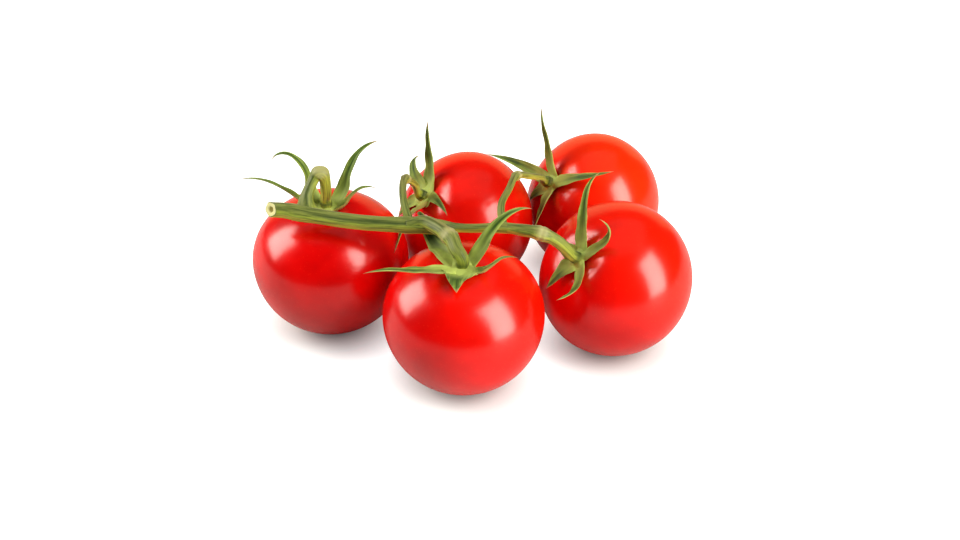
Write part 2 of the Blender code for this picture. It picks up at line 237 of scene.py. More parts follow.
def makeLeafMaterial():
    # colour = dark middle to pale edge across, streaked by veins, paler at the base and underneath, tan tips
    material = bpy.data.materials.new("hairyLeafTissue")
    material.use_nodes = True
    tree = material.node_tree
    shader = tree.nodes["Principled BSDF"]
    tone = addNode(tree, "ShaderNodeAttribute", {"attribute_name": "leafTone"}).outputs["Vector"]
    grain = addNode(tree, "ShaderNodeAttribute", {"attribute_name": "grain"}).outputs["Vector"]
    place = addNode(tree, "ShaderNodeTexCoord").outputs["Object"]
    parts = addNode(tree, "ShaderNodeSeparateXYZ", links={0: tone})
    along, across, lower = parts.outputs
    sideways = addNode(tree, "ShaderNodeMath", {"operation": "ABSOLUTE"}, {0: across})
    stretched = addNode(tree, "ShaderNodeMapping",
                        {"Scale": (1 / leaf["fibre"], 1 / leaf["fibre"], 1 / leaf["fibreLength"])},
                        {"Vector": grain})
    veins = addNode(tree, "ShaderNodeTexNoise", {"Scale": 1.0, "Detail": 3.0, "Roughness": 0.6},
                    {"Vector": stretched.outputs["Vector"]})
    blotches = addNode(tree, "ShaderNodeTexNoise",
                       {"Scale": 1 / (leaf["blotch"] * mm), "Detail": 2.0}, {"Vector": place})
    acrossColour = addNode(tree, "ShaderNodeValToRGB",
                           {"stops": [(0.0, hexColour(leaf["dark"])), (0.3, hexColour(leaf["green"])),
                                      (1.0, hexColour(leaf["edge"]))]},
                           {"Fac": sideways.outputs[0]})
    veined = addNode(tree, "ShaderNodeMapRange", {"From Min": 0.42, "From Max": 0.6, "To Max": 0.8},
                     {"Value": veins.outputs["Fac"]})
    streaked = addNode(tree, "ShaderNodeMix", {"data_type": "RGBA", 7: hexColour(leaf["dark"])},
                       {0: veined.outputs["Result"], 6: acrossColour.outputs["Color"]})
    beneath = addNode(tree, "ShaderNodeMath", {"operation": "MULTIPLY", 1: 0.7}, {0: lower})
    paler = addNode(tree, "ShaderNodeMix", {"data_type": "RGBA", 7: hexColour(leaf["under"])},
                    {0: beneath.outputs[0], 6: streaked.outputs[2]})
    atBase = addNode(tree, "ShaderNodeMapRange",
                     {"From Min": 0.05, "From Max": 0.5, "To Min": 0.8, "To Max": 0.0}, {"Value": along})
    based = addNode(tree, "ShaderNodeMix", {"data_type": "RGBA", 7: hexColour(leaf["base"])},
                    {0: atBase.outputs["Result"], 6: paler.outputs[2]})
    atTip = addNode(tree, "ShaderNodeMapRange", {"From Min": 0.86, "From Max": 0.99}, {"Value": along})
    tipped = addNode(tree, "ShaderNodeMix", {"data_type": "RGBA", 7: hexColour(leaf["tip"])},
                     {0: atTip.outputs["Result"], 6: based.outputs[2]})
    shade = addNode(tree, "ShaderNodeMapRange", {"To Min": 0.7, "To Max": 1.3},
                    {"Value": blotches.outputs["Fac"]})
    mottled = addNode(tree, "ShaderNodeHueSaturation",
                      links={"Color": tipped.outputs[2], "Value": shade.outputs["Result"]})
    dullness = addNode(tree, "ShaderNodeMapRange",
                       {"To Min": leaf["roughness"] - 0.12, "To Max": leaf["roughness"] + 0.12},
                       {"Value": blotches.outputs["Fac"]})
    ridges = addNode(tree, "ShaderNodeBump", {"Strength": 0.7, "Distance": 0.15 * mm},
                     {"Height": veins.outputs["Fac"]})
    tree.links.new(mottled.outputs["Color"], shader.inputs["Base Color"])
    tree.links.new(dullness.outputs["Result"], shader.inputs["Roughness"])
    tree.links.new(ridges.outputs["Normal"], shader.inputs["Normal"])
    shader.inputs["IOR"].default_value = 1.4
    shader.inputs["Sheen Weight"].default_value = 0.08
    shader.inputs["Sheen Roughness"].default_value = 0.5
    return material


def makeBarkMaterial():
    # colour = grey green above to yellow green below by how far a point faces down, with lengthwise streaks
    material = bpy.data.materials.new("greenVineBark")
    material.use_nodes = True
    tree = material.node_tree
    shader = tree.nodes["Principled BSDF"]
    tone = addNode(tree, "ShaderNodeAttribute", {"attribute_name": "barkTone"}).outputs["Vector"]
    grain = addNode(tree, "ShaderNodeAttribute", {"attribute_name": "grain"}).outputs["Vector"]
    place = addNode(tree, "ShaderNodeTexCoord").outputs["Object"]
    parts = addNode(tree, "ShaderNodeSeparateXYZ", links={0: tone})
    down, knuckle, groove = parts.outputs
    stretched = addNode(tree, "ShaderNodeMapping",
                        {"Scale": (1 / bark["fibre"], 1 / bark["fibre"], 1 / bark["fibreLength"])},
                        {"Vector": grain})
    fibres = addNode(tree, "ShaderNodeTexNoise", {"Scale": 1.0, "Detail": 3.0, "Roughness": 0.6},
                     {"Vector": stretched.outputs["Vector"]})
    blotches = addNode(tree, "ShaderNodeTexNoise",
                       {"Scale": 1 / (bark["blotch"] * mm), "Detail": 3.0}, {"Vector": place})
    wander = addNode(tree, "ShaderNodeMath", {"operation": "MULTIPLY_ADD", 1: 0.35, 2: -0.17},
                     {0: blotches.outputs["Fac"]})
    height = addNode(tree, "ShaderNodeMath", {"operation": "ADD"}, {0: down, 1: wander.outputs[0]})
    # painted bounce light: the bark turns lighter and yellower the more it faces down, towards the white
    # sweep
    around = addNode(tree, "ShaderNodeValToRGB",
                     {"stops": [(0.2, hexColour(bark["top"])), (0.42, hexColour(bark["side"])),
                                (0.78, hexColour(bark["under"]))]},
                     {"Fac": height.outputs[0]})
    streaks = addNode(tree, "ShaderNodeMapRange", {"From Min": 0.42, "From Max": 0.64, "To Max": 0.75},
                      {"Value": fibres.outputs["Fac"]})
    streaked = addNode(tree, "ShaderNodeMix", {"data_type": "RGBA", 7: hexColour(bark["streak"])},
                       {0: streaks.outputs["Result"], 6: around.outputs["Color"]})
    swollen = addNode(tree, "ShaderNodeMix", {"data_type": "RGBA", 7: hexColour(bark["knuckle"])},
                      {0: knuckle, 6: streaked.outputs[2]})
    # painted shade: the streak colour laid in the main stem's crease and in the band where a stalk meets its
    # hub
    grooved = addNode(tree, "ShaderNodeMix", {"data_type": "RGBA", 7: hexColour(bark["streak"])},
                      {0: groove, 6: swollen.outputs[2]})
    dullness = addNode(tree, "ShaderNodeMapRange",
                       {"To Min": bark["roughness"] - 0.12, "To Max": bark["roughness"] + 0.12},
                       {"Value": blotches.outputs["Fac"]})
    ridges = addNode(tree, "ShaderNodeBump", {"Strength": 0.6, "Distance": 0.2 * mm},
                     {"Height": fibres.outputs["Fac"]})
    tree.links.new(grooved.outputs[2], shader.inputs["Base Color"])
    tree.links.new(dullness.outputs["Result"], shader.inputs["Roughness"])
    tree.links.new(ridges.outputs["Normal"], shader.inputs["Normal"])
    shader.inputs["IOR"].default_value = 1.4
    shader.inputs["Sheen Weight"].default_value = 0.08
    shader.inputs["Sheen Roughness"].default_value = 0.5
    return material


def makeCutMaterial():
    # colour by distance from the middle of the cut: dark pith, cream ring of wood, green rind
    material = bpy.data.materials.new("freshCutStem")
    material.use_nodes = True
    tree = material.node_tree
    shader = tree.nodes["Principled BSDF"]
    tone = addNode(tree, "ShaderNodeAttribute", {"attribute_name": "barkTone"}).outputs["Vector"]
    outward = addNode(tree, "ShaderNodeSeparateXYZ", links={0: tone}).outputs["Z"]
    place = addNode(tree, "ShaderNodeTexCoord").outputs["Object"]
    pores = addNode(tree, "ShaderNodeTexNoise",
                    {"Scale": 1 / (cut["pore"] * mm), "Detail": 2.0}, {"Vector": place})
    wander = addNode(tree, "ShaderNodeMath", {"operation": "MULTIPLY_ADD", 1: 0.25, 2: -0.12},
                     {0: pores.outputs["Fac"]})
    reach = addNode(tree, "ShaderNodeMath", {"operation": "ADD"}, {0: outward, 1: wander.outputs[0]})
    rings = addNode(tree, "ShaderNodeValToRGB",
                    {"stops": [(0.3, hexColour(cut["pith"])), (0.5, hexColour(cut["ring"])),
                               (0.88, hexColour(cut["ring"])), (0.97, hexColour(cut["rind"]))]},
                    {"Fac": reach.outputs[0]})
    dullness = addNode(tree, "ShaderNodeMapRange", {"To Min": 0.5, "To Max": 0.8},
                       {"Value": pores.outputs["Fac"]})
    bump = addNode(tree, "ShaderNodeBump", {"Strength": 0.6, "Distance": 0.15 * mm},
                   {"Height": pores.outputs["Fac"]})
    tree.links.new(rings.outputs["Color"], shader.inputs["Base Color"])
    tree.links.new(dullness.outputs["Result"], shader.inputs["Roughness"])
    tree.links.new(bump.outputs["Normal"], shader.inputs["Normal"])
    return material


skinMaterial = makeSkinMaterial()
leafMaterial = makeLeafMaterial()
barkMaterial = makeBarkMaterial()
cutMaterial = makeCutMaterial()
print("materials: ripe skin, leaf tissue, vine bark and cut stem")

# the fruits: round, flatter at the shoulders, hollow at the stem end
tomato = {
    "topShare": 0.83,  # shoulder height over radius
    "bottomShare": 0.978,  # height below the equator over radius
    "squareness": 0.95,  # under 1 makes the outline fuller than an ellipse
    "dimpleDepth": 2.2,
    "dimpleRadius": 5.4,
    "restSink": 0.25,  # how much a ripe fruit flattens where it rests
    "creaseDepth": 0.06,  # radial creases that run out of the dimple
    "creaseRadius": 7.5,
    "creases": 7,
    "lobes": 5,  # the chambers inside, which just show on the shoulders
    "lobeShare": 0.006,
    "unevenShare": 0.003,
    "scarRadius": 0.7,  # the dry dot at the blossom end
    "rows": 150,
    "columns": 220,
}
fruits = {
    "front": {"radius": 22.0, "lean": 10, "heading": -95, "phase": 0.4, "orange": 0.12},
    "left": {"radius": 22.35, "lean": 5, "heading": -95, "phase": 2.1, "orange": 0.0},
    "right": {"radius": 22.05, "lean": 50, "heading": -145, "phase": 3.7, "orange": 0.2},
    "rear_right": {"radius": 21.25, "lean": 56, "heading": -156, "phase": 5.2, "orange": 0.5},
    "rear_middle": {"radius": 21.2, "lean": 48, "heading": -154, "phase": 1.3, "orange": 0.12},
}


def fruitTurn(fruit):
    # leans the stem end over from upright about Y, then turns it about Z to its heading
    lean, heading = math.radians(fruit["lean"]), math.radians(fruit["heading"])
    tip = np.array([[math.cos(lean), 0, math.sin(lean)], [0, 1, 0], [-math.sin(lean), 0, math.cos(lean)]])
    spin = np.array([[math.cos(heading), -math.sin(heading), 0], [math.sin(heading), math.cos(heading), 0],
                     [0, 0, 1]])
    return spin @ tip


def fruitOutline(radius, angle):
    # angle runs from 0 at the stem end to pi: outward = radius sin^0.95, height = radius cos times the
    # shoulder's or the base's share, less a bell-shaped dimple round the stem
    outward = radius * np.sin(angle).clip(0.0) ** tomato["squareness"]
    upper = np.cos(angle) > 0
    height = radius * np.cos(angle) * np.where(upper, tomato["topShare"], tomato["bottomShare"])
    return outward, height - tomato["dimpleDepth"] * bell(outward, tomato["dimpleRadius"]) * upper


outlineAngles = np.linspace(0.0, math.pi, 361)


def fruitCentre(name, fruit):
    # the middle of the CAD fruit's box, less the middle of the bare outline's box when it is turned alike;
    # its height lets the lowest point press into the surface by restSink
    outward, height = fruitOutline(fruit["radius"], outlineAngles)
    around = np.linspace(0.0, 2 * math.pi, 144, endpoint=False)[:, None]
    bare = np.stack([outward * np.cos(around), outward * np.sin(around), height + 0 * around], axis=-1)
    bare = bare.reshape(-1, 3) @ fruitTurn(fruit).T
    low, high = (np.array(corner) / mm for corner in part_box("tomato_" + name))
    centre = (low + high) / 2 - (bare.min(axis=0) + bare.max(axis=0)) / 2
    centre[2] = -bare[:, 2].min() - tomato["restSink"]
    return centre


def makeFruit(name, fruit):
    # the outline carried round its axis; each point is drawn in a little by lobes on the shoulders, by a slow
    # unevenness and by creases in the dimple, then turned, placed, and lifted to the surface where below it
    angle = np.linspace(math.pi, 0.0, tomato["rows"] + 2)[1:-1, None]
    around = np.linspace(0.0, 2 * math.pi, tomato["columns"], endpoint=False)[None, :]
    outward, height = fruitOutline(fruit["radius"], angle)
    phase = fruit["phase"]
    shoulder = smoothStep(np.cos(angle), -0.2, 0.8)
    lobes = 0.5 - 0.5 * np.cos(tomato["lobes"] * around + phase + 0.6 * np.sin(around + phase))
    slow = (0.5 + 0.25 * np.sin(2 * around + 2.5 * angle + phase)
            + 0.25 * np.sin(3 * around - 2 * angle + 2 * phase))
    drawnIn = 1.0 - tomato["lobeShare"] * lobes * shoulder - tomato["unevenShare"] * slow
    creases = 0.5 - 0.5 * np.cos(tomato["creases"] * around + 2 * np.sin(2 * around + phase))
    dip = tomato["creaseDepth"] * creases * bell(outward, tomato["creaseRadius"]) * (height > 0)
    local = np.stack([outward * drawnIn * np.cos(around), outward * drawnIn * np.sin(around),
                      (height * drawnIn - dip) + 0 * around], axis=-1)
    turn = fruitTurn(fruit)
    rings = local @ turn.T + centres[name]
    rings[..., 2] = np.maximum(rings[..., 2], 0.0)
    # painted light: the orange share rises towards +X and upwards, the side the right soft box lights; its
    # amount is the fruit's own
    litSide = smoothStep(rings[..., 0] - centres[name][0] + rings[..., 2] - centres[name][2],
                         -0.5 * fruit["radius"], 1.2 * fruit["radius"])
    scar = smoothStep(-outward, -tomato["scarRadius"], -0.6 * tomato["scarRadius"]) * (height < 0)
    tone = np.stack([fruit["orange"] * litSide, scar + 0 * around, 0 * litSide], axis=-1)
    part = tubePart(rings, {"fruitPlace": local * mm, "fruitTone": tone})
    piece = addPiece("skin_" + name, [part], [skinMaterial])
    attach(piece, "root")
    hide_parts("tomato_" + name)


centres = {name: fruitCentre(name, fruit) for name, fruit in fruits.items()}
for fruitName, fruitSizes in fruits.items():
    makeFruit(fruitName, fruitSizes)
print("fruits:", len(fruits))

# the calyxes: a low lobed hub with five sepals, thin folded blades that dry to a thread at the tip
calyx = {
    "hubRadius": 2.3,  # where the seat's height is taken and the blades start
    # each hub's radius over what hubNotch and hubLobe give
    "hubScale": {"left": 1.2, "front": 1.4, "right": 1.2, "rear_right": 1.25, "rear_middle": 1.35},
    "hubMiddle": 0.7,  # the hub's middle above the skin round it
    "hubCrown": 1.0,
    "hubBelow": 0.7,
    "hubNotch": 2.0,  # the hub's radius between two sepals
    "hubLobe": 1.2,  # extra radius towards each sepal
    "bladeThick": 0.42,
    "baseThick": 1.0,
    "tipHalf": 0.16,  # half a blade's width at its tip
    "keel": 0.32,  # how far the midrib stands out beneath
    "rib": 0.14,  # how deep it lies above
    "ripple": 0.12,  # how far the edges wave, over half the width
    "lift": 0.08,  # clearance where a blade lies on a fruit
    "stations": 90,
    "around": 36,
}
# each row: azimuth round the stem end, length, width at the widest, sideways bend, rises from base to tip,
# roll at the base and at the tip, fold depth. The azimuths, lengths, bends and rises began as a rounded
# least-squares fit, and some were then altered; the widths, rolls and folds were set one by one
sepals = {
    "left": [
        (284, 25.0, 3.4, 0, (35, 45, 30, -10), (0, 10), 0.45),
        (236, 25.0, 4.4, 35, (30, 90, 30, -75), (0, -20), 0.4),
        (132, 24.0, 5.4, -15, (35, 75, 50, -5), (15, 30), 0.35),
        (84, 16.0, 3.2, 5, (20, 60, 35, -25), (0, 10), 0.5),
        (6, 7.0, 3.8, 10, (30, 20, 10, 0), (0, 0), 0.3),
    ],
    "front": [
        (306, 26.0, 4.8, -20, (25, 20, 20, -10), (0, 15), 0.35),
        (224, 25.0, 8.0, -22, (15, -15, 35, -60), (-35, -40), 0.15),
        (126, 24.5, 4.9, -5, (45, 60, 25, -35), (10, 60), 0.3),
        (66, 16.5, 3.2, 15, (0, 50, 50, -10), (0, 0), 0.5),
        (352, 9.5, 11.0, 15, (30, 20, 0, -25), (0, 0), 0.3),
    ],
    "right": [
        (192, 23.5, 5.0, 5, (30, 30, 15, -50), (0, 15), 0.4),
        (136, 21.0, 3.6, 15, (15, 15, 60, 95), (0, 20), 0.45),
        (52, 19.0, 3.8, -20, (5, 30, 55, 60), (0, -15), 0.3),
        (348, 10.0, 6.6, 0, (40, 10, 0, 0), (0, 0), 0.35),
        (264, 8.0, 5.6, 0, (60, 45, 0, -60), (0, 0), 0.3),
    ],
    "rear_right": [
        (201, 22.0, 4.6, -5, (40, 35, 45, 25), (0, 10), 0.4),
        (271, 23.5, 5.0, 25, (25, 25, 25, 25), (0, 10), 0.4),
        (119, 22.5, 5.0, 22, (20, 0, -20, -25), (0, -10), 0.4),
        (337, 7.5, 6.0, -5, (30, 10, -5, -30), (0, 0), 0.5),
        (45, 16.0, 5.0, 0, (30, 20, 20, 15), (0, 10), 0.35),
    ],
    "rear_middle": [
        (248, 15.5, 6.0, -15, (35, 25, -10, -55), (0, 0), 0.35),
        (198, 21.5, 6.0, -15, (15, 40, 45, 35), (0, 20), 0.4),
        (112, 14.5, 4.4, -40, (30, 10, -5, -10), (0, -10), 0.4),
        (68, 27.0, 5.6, -28, (45, 40, 15, 5), (0, 10), 0.35),
        (328, 9.5, 5.4, 10, (35, 0, -15, -25), (0, 0), 0.45),
    ],
}


def clearOfFruits(points, margin):
    # a point nearer a fruit's centre than the bare outline plus its margin moves out to there
    for name, fruit in fruits.items():
        turn = fruitTurn(fruit)
        local = (points - centres[name]) @ turn
        outward, height = fruitOutline(fruit["radius"], outlineAngles)
        tilt = np.arctan2(np.hypot(local[..., 0], local[..., 1]), local[..., 2])
        surface = np.interp(tilt, np.arctan2(outward, height), np.hypot(outward, height)) + margin
        reach = np.linalg.norm(local, axis=-1)
        push = np.where(reach < surface, surface / reach, 1.0)[..., None]
        points = centres[name] + (local * push) @ turn.T
    return points


def calyxSeat(name):
    # on the fruit's axis, where the outline stands at the hub's radius, plus the hub's middle height
    fruit = fruits[name]
    outward, height = fruitOutline(fruit["radius"], outlineAngles[:len(outlineAngles) // 2])
    reach = float(np.interp(calyx["hubRadius"], outward, height)) + calyx["hubMiddle"]
    return centres[name] + fruitTurn(fruit)[:, 2] * reach


def sepalPart(sepal, seat, turn):
    # the path sums short steps whose heading turns by bend and rises through the given angles; across it a
    # blade: half its width times cos, its thickness times sin, folded up by the square of the share across
    azimuth, length, width, bend, rises, (baseRoll, tipRoll), fold = sepal
    share = np.linspace(0.0, 1.0, calyx["stations"])
    rise = np.radians(np.interp(share, np.linspace(0, 1, len(rises)), rises))
    facing = np.radians(azimuth + bend * share)
    heading = np.stack([np.cos(rise) * np.cos(facing), np.cos(rise) * np.sin(facing), np.sin(rise)], axis=1)
    steps = (heading[1:] + heading[:-1]) / 2 * length / (len(share) - 1)
    start = calyx["hubRadius"] * np.array([math.cos(facing[0]), math.sin(facing[0]), 0.0])
    path = np.vstack([start, start + np.cumsum(steps, axis=0)])
    inner = start * np.linspace(0.3, 0.9, 5)[:, None]
    path = np.vstack([inner, path])
    pad = len(inner)
    share, rise, facing = (np.concatenate([np.full(pad, values[0]), values])
                           for values in (share, rise, facing))
    side = np.stack([-np.sin(facing), np.cos(facing), 0 * facing], axis=1)
    out = np.stack([-np.sin(rise) * np.cos(facing), -np.sin(rise) * np.sin(facing), np.cos(rise)], axis=1)
    turned = baseRoll * smoothStep(share, 0.0, 0.2) + (tipRoll - baseRoll) * share
    roll = np.radians(turned)[:, None]
    side, out = side * np.cos(roll) + out * np.sin(roll), out * np.cos(roll) - side * np.sin(roll)

    loop = np.linspace(0.0, 2 * math.pi, calyx["around"], endpoint=False)[None, :]
    across = np.cos(loop)
    upper = np.sin(loop)
    share = share[:, None]
    broad = 0.85 + 0.15 * smoothStep(share, 0.0, 0.22)
    half = np.maximum(width / 2 * (1.0 - share) ** 0.95 * broad, calyx["tipHalf"] * (1.3 - share))
    extra = calyx["baseThick"] - calyx["bladeThick"]
    thick = np.minimum(calyx["bladeThick"] + extra * (1 - smoothStep(share, 0.0, 0.3)), 1.2 * half)
    sheet = thick / 2 * np.sign(upper) * np.abs(upper) ** 0.7
    keel = -calyx["keel"] * bell(across, 0.2) * (upper < 0) * (1 - share) * smoothStep(half, 0.3, 1.2)
    rib = -calyx["rib"] * bell(across, 0.16) * (upper > 0) * smoothStep(share, 0.05, 0.2) * (1 - share)
    folded = half * fold * (across ** 2 - 0.4) * smoothStep(share, 0.0, 0.15)
    wave = np.sin(across * 1.5 + share * length * 0.9 + azimuth)
    ripple = half * calyx["ripple"] * np.abs(across) ** 3 * wave
    height = sheet + keel + rib + folded + ripple * smoothStep(share, 0.1, 0.3)
    local = (path[:, None, :] + side[:, None, :] * (half * across)[..., None]
             + out[:, None, :] * height[..., None])
    rings = clearOfFruits(seat + local @ turn.T, calyx["lift"] + (sheet + thick / 2))
    lower = smoothStep(-upper, -0.1, 0.1) + 0 * share
    grain = np.stack([half * across + azimuth, upper + 0 * share, share * length + 0 * across], axis=-1)
    tone = np.stack([share + 0 * across, across + 0 * share, lower], axis=-1)
    return tubePart(rings, {"grain": grain, "leafTone": tone})


def hubPart(name, seat, turn):
    # a flattened dome whose radius swells towards each sepal: radius = notch + lobe times a bell per sepal
    bow = np.linspace(math.pi, 0.0, 26)[1:-1, None]
    around = np.linspace(0.0, 2 * math.pi, 90, endpoint=False)[None, :]
    swell = 0 * around
    for sepal in sepals[name]:
        turned = (around - math.radians(sepal[0]) + math.pi) % (2 * math.pi) - math.pi
        swell = np.maximum(swell, bell(turned, 0.42))
    outward = (calyx["hubNotch"] + calyx["hubLobe"] * swell) * calyx["hubScale"][name] * np.sin(bow)
    height = np.cos(bow) * np.where(np.cos(bow) > 0, calyx["hubCrown"], calyx["hubBelow"]) + 0 * around
    local = np.stack([outward * np.cos(around), outward * np.sin(around), height], axis=-1)
    grain = np.stack([2 * np.cos(around) + 0 * bow, 2 * np.sin(around) + 0 * bow, outward], axis=-1)
    tone = np.stack([0 * outward, 1 - swell + 0 * bow, 0 * outward], axis=-1)
    rings = clearOfFruits(seat + local @ turn.T, calyx["lift"])
    return tubePart(rings, {"grain": grain, "leafTone": tone})


seats = {name: calyxSeat(name) for name in fruits}
for fruitName, fruitSizes in fruits.items():
    fruitAxes = fruitTurn(fruitSizes)
    calyxParts = [hubPart(fruitName, seats[fruitName], fruitAxes)]
    calyxParts += [sepalPart(sepal, seats[fruitName], fruitAxes) for sepal in sepals[fruitName]]
    star = addPiece("star_" + fruitName, calyxParts, [leafMaterial])
    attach(star, "root")
    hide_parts("calyx_" + fruitName)
print("calyxes:", len(seats))

# the vine: the main stem and a stalk to each fruit, with a knuckle where the fruit would snap off
vine = {
    "cutRadius": 2.15,
    "cutFacing": (-0.78, -0.55, 0.3),  # the cut is slanting: the way its face looks
    "crease": 0.10,  # depth over the radius of the crease between the stem's two strands
    "creaseTilt": 0.65,  # radians up from level, on the side of the fruits in front
    "farRadius": 1.25,
    "nodeSwell": 0.3,  # extra radius where a stalk leaves
    "nodeSpread": 3.5,
    "ribs": 5,
    "ribShare": 0.045,
    "stalkRadius": 1.3,
    "endRadius": 1.9,
    "knuckleSwell": 0.5,
    "knuckleSpread": 1.8,
    "knuckleCrease": 0.25,
    "rootShare": 0.8,  # a stalk's radius at its start, inside the main stem, over its usual
    "rootReach": 3.6,
    "approach": 3.0,  # the last stretch of a stalk, straight along the fruit's axis
    # the joint band is painted shade in the crevice where a stalk meets its hub
    "jointAt": 1.7,  # the dark joint's distance from a stalk's end, its spread and how dark it is
    "jointSpread": 0.8,
    "jointShade": 0.75,
    "samples": 60,  # points worked out between two route points before they are spaced evenly
    "step": 0.35,  # mm between two rings
    "around": 40,
}
# the main stem's route, as offsets from the calyx of the fruit that each point belongs to
mainRoute = [
    ("left", (-14.0, -10.0, 5.0)), ("left", (-10.0, -10.5, 5.0)), ("left", (-6.0, -11.0, 4.5)),
    ("left", (1.0, -12.5, 4.0)), ("left", (8.0, -14.5, 4.0)), ("front", (-22.5, 15.0, 4.5)),
    ("front", (-14.5, 14.0, 4.7)), ("front", (-6.0, 12.5, 5.0)), ("front", (2.0, 12.5, 4.5)),
    ("right", (-21.0, -1.5, 10.5)), ("right", (-15.0, -3.5, 11.0)),
]
# each stalk: the point of the main route where it leaves, and its route as offsets from its own calyx; which
# of those swells into the knuckle; its radius over the usual; how far upstream it starts inside the main
# stem, and how far it rides up out of it there; how much its root widens along the stem, and leans along it
stalks = {
    "left": {"root": 2, "knuckle": 2, "thicker": 0.3, "upstream": 0.0, "crown": 0.0,
             "web": 1.3, "lean": 1.6,
             "route": [(-4.0, -7.0, 8.5), (-2.0, -4.5, 12.0), (-0.5, -4.5, 13.5), (0.5, -4.0, 11.5),
                       (0.5, -2.5, 6.0)]},
    "front": {"root": 7, "knuckle": 0, "thicker": 0.7, "upstream": 9.0, "crown": 0.9,
              "web": 0.0, "lean": 0.0,
              "route": [(-3.5, 5.5, 6.0), (-1.5, 1.0, 4.5)]},
    "right": {"root": 10, "knuckle": 0, "thicker": 0.45, "upstream": 4.5, "crown": 0.0,
              "web": 0.0, "lean": 0.0,
              "route": [(-10.5, -4.5, 10.5), (-6.0, -3.5, 7.5)]},
    "rear_right": {"root": 9, "knuckle": 2, "thicker": -0.3, "upstream": 1.5, "crown": 0.0,
                   "web": 0.5, "lean": 0.5,
                   "route": [(-15.8, -44.0, 17.0), (-13.6, -36.0, 17.5), (-11.2, -26.0, 16.5),
                             (-7.0, -17.0, 11.5), (-3.5, -7.5, 6.0)]},
    "rear_middle": {"root": 6, "knuckle": 2, "thicker": -0.25, "upstream": 1.5, "crown": 0.0,
                    "web": 0.5, "lean": 0.5,
                    "route": [(-4.5, -29.5, 15.0), (-5.0, -21.5, 15.5), (-4.5, -15.0, 14.0),
                              (-2.5, -7.0, 8.0)]},
}


def smoothCurve(route):
    # Catmull-Rom: between two route points a cubic whose slope at each is half the step between the points
    # either side of it; then points at even distances along it, with where each route point falls
    route = np.array(route, dtype=float)
    ends = np.vstack([2 * route[0] - route[1], route, 2 * route[-1] - route[-2]])
    span = np.linspace(0.0, len(route) - 1, vine["samples"] * (len(route) - 1) + 1)
    k = np.minimum(span.astype(int), len(route) - 2)
    u = (span - k)[:, None]
    a, b, c, d = (ends[k + shift] for shift in range(4))
    fine = 0.5 * (2 * b + (c - a) * u + (2 * a - 5 * b + 4 * c - d) * u ** 2
                  + (3 * b - a - 3 * c + d) * u ** 3)
    along = np.concatenate([[0.0], np.cumsum(np.linalg.norm(np.diff(fine, axis=0), axis=1))])
    even = np.linspace(0.0, along[-1], int(along[-1] / vine["step"]))
    curve = np.stack([np.interp(even, along, fine[:, axis]) for axis in range(3)], axis=1)
    return curve, even, along[::vine["samples"]]


def curveFrames(curve):
    # directions along, sideways and across at each point; sideways is carried on from the one before it with
    # what lies along the curve taken away, so that the rings don't twist
    along = np.gradient(curve, axis=0)
    along /= np.linalg.norm(along, axis=1)[:, None]
    sideways = np.zeros_like(along)
    last = np.cross(along[0], (0.0, 0.0, 1.0))
    for k, ahead in enumerate(along):
        last = last - ahead * np.dot(last, ahead)
        last /= np.linalg.norm(last)
        sideways[k] = last
    return along, sideways, np.cross(along, sideways)


def ringsRound(curve, radii, around):
    # a ring's offsets from its point of the curve = the radius times cos sideways plus sin across, with the
    # same spokes at length 1 and the directions along the curve
    along, sideways, across = curveFrames(curve)
    spoke = np.cos(around)[..., None] * sideways[:, None, :] + np.sin(around)[..., None] * across[:, None, :]
    return spoke * radii[..., None], spoke, along


def barkMarks(spoke, radii, around, distance, knuckle, groove):
    # grain: round the stem and along it, in mm; tone: how far it faces down, knuckle share, share of painted
    # shade (the main stem's crease and each stalk's hub joint)
    shape = radii.shape
    grain = np.stack([radii * np.cos(around), radii * np.sin(around),
                      np.broadcast_to(distance[:, None], shape)], axis=-1)
    tone = np.stack([0.5 - 0.5 * spoke[..., 2], np.broadcast_to(knuckle[:, None], shape), groove], axis=-1)
    return {"grain": grain, "barkTone": tone}


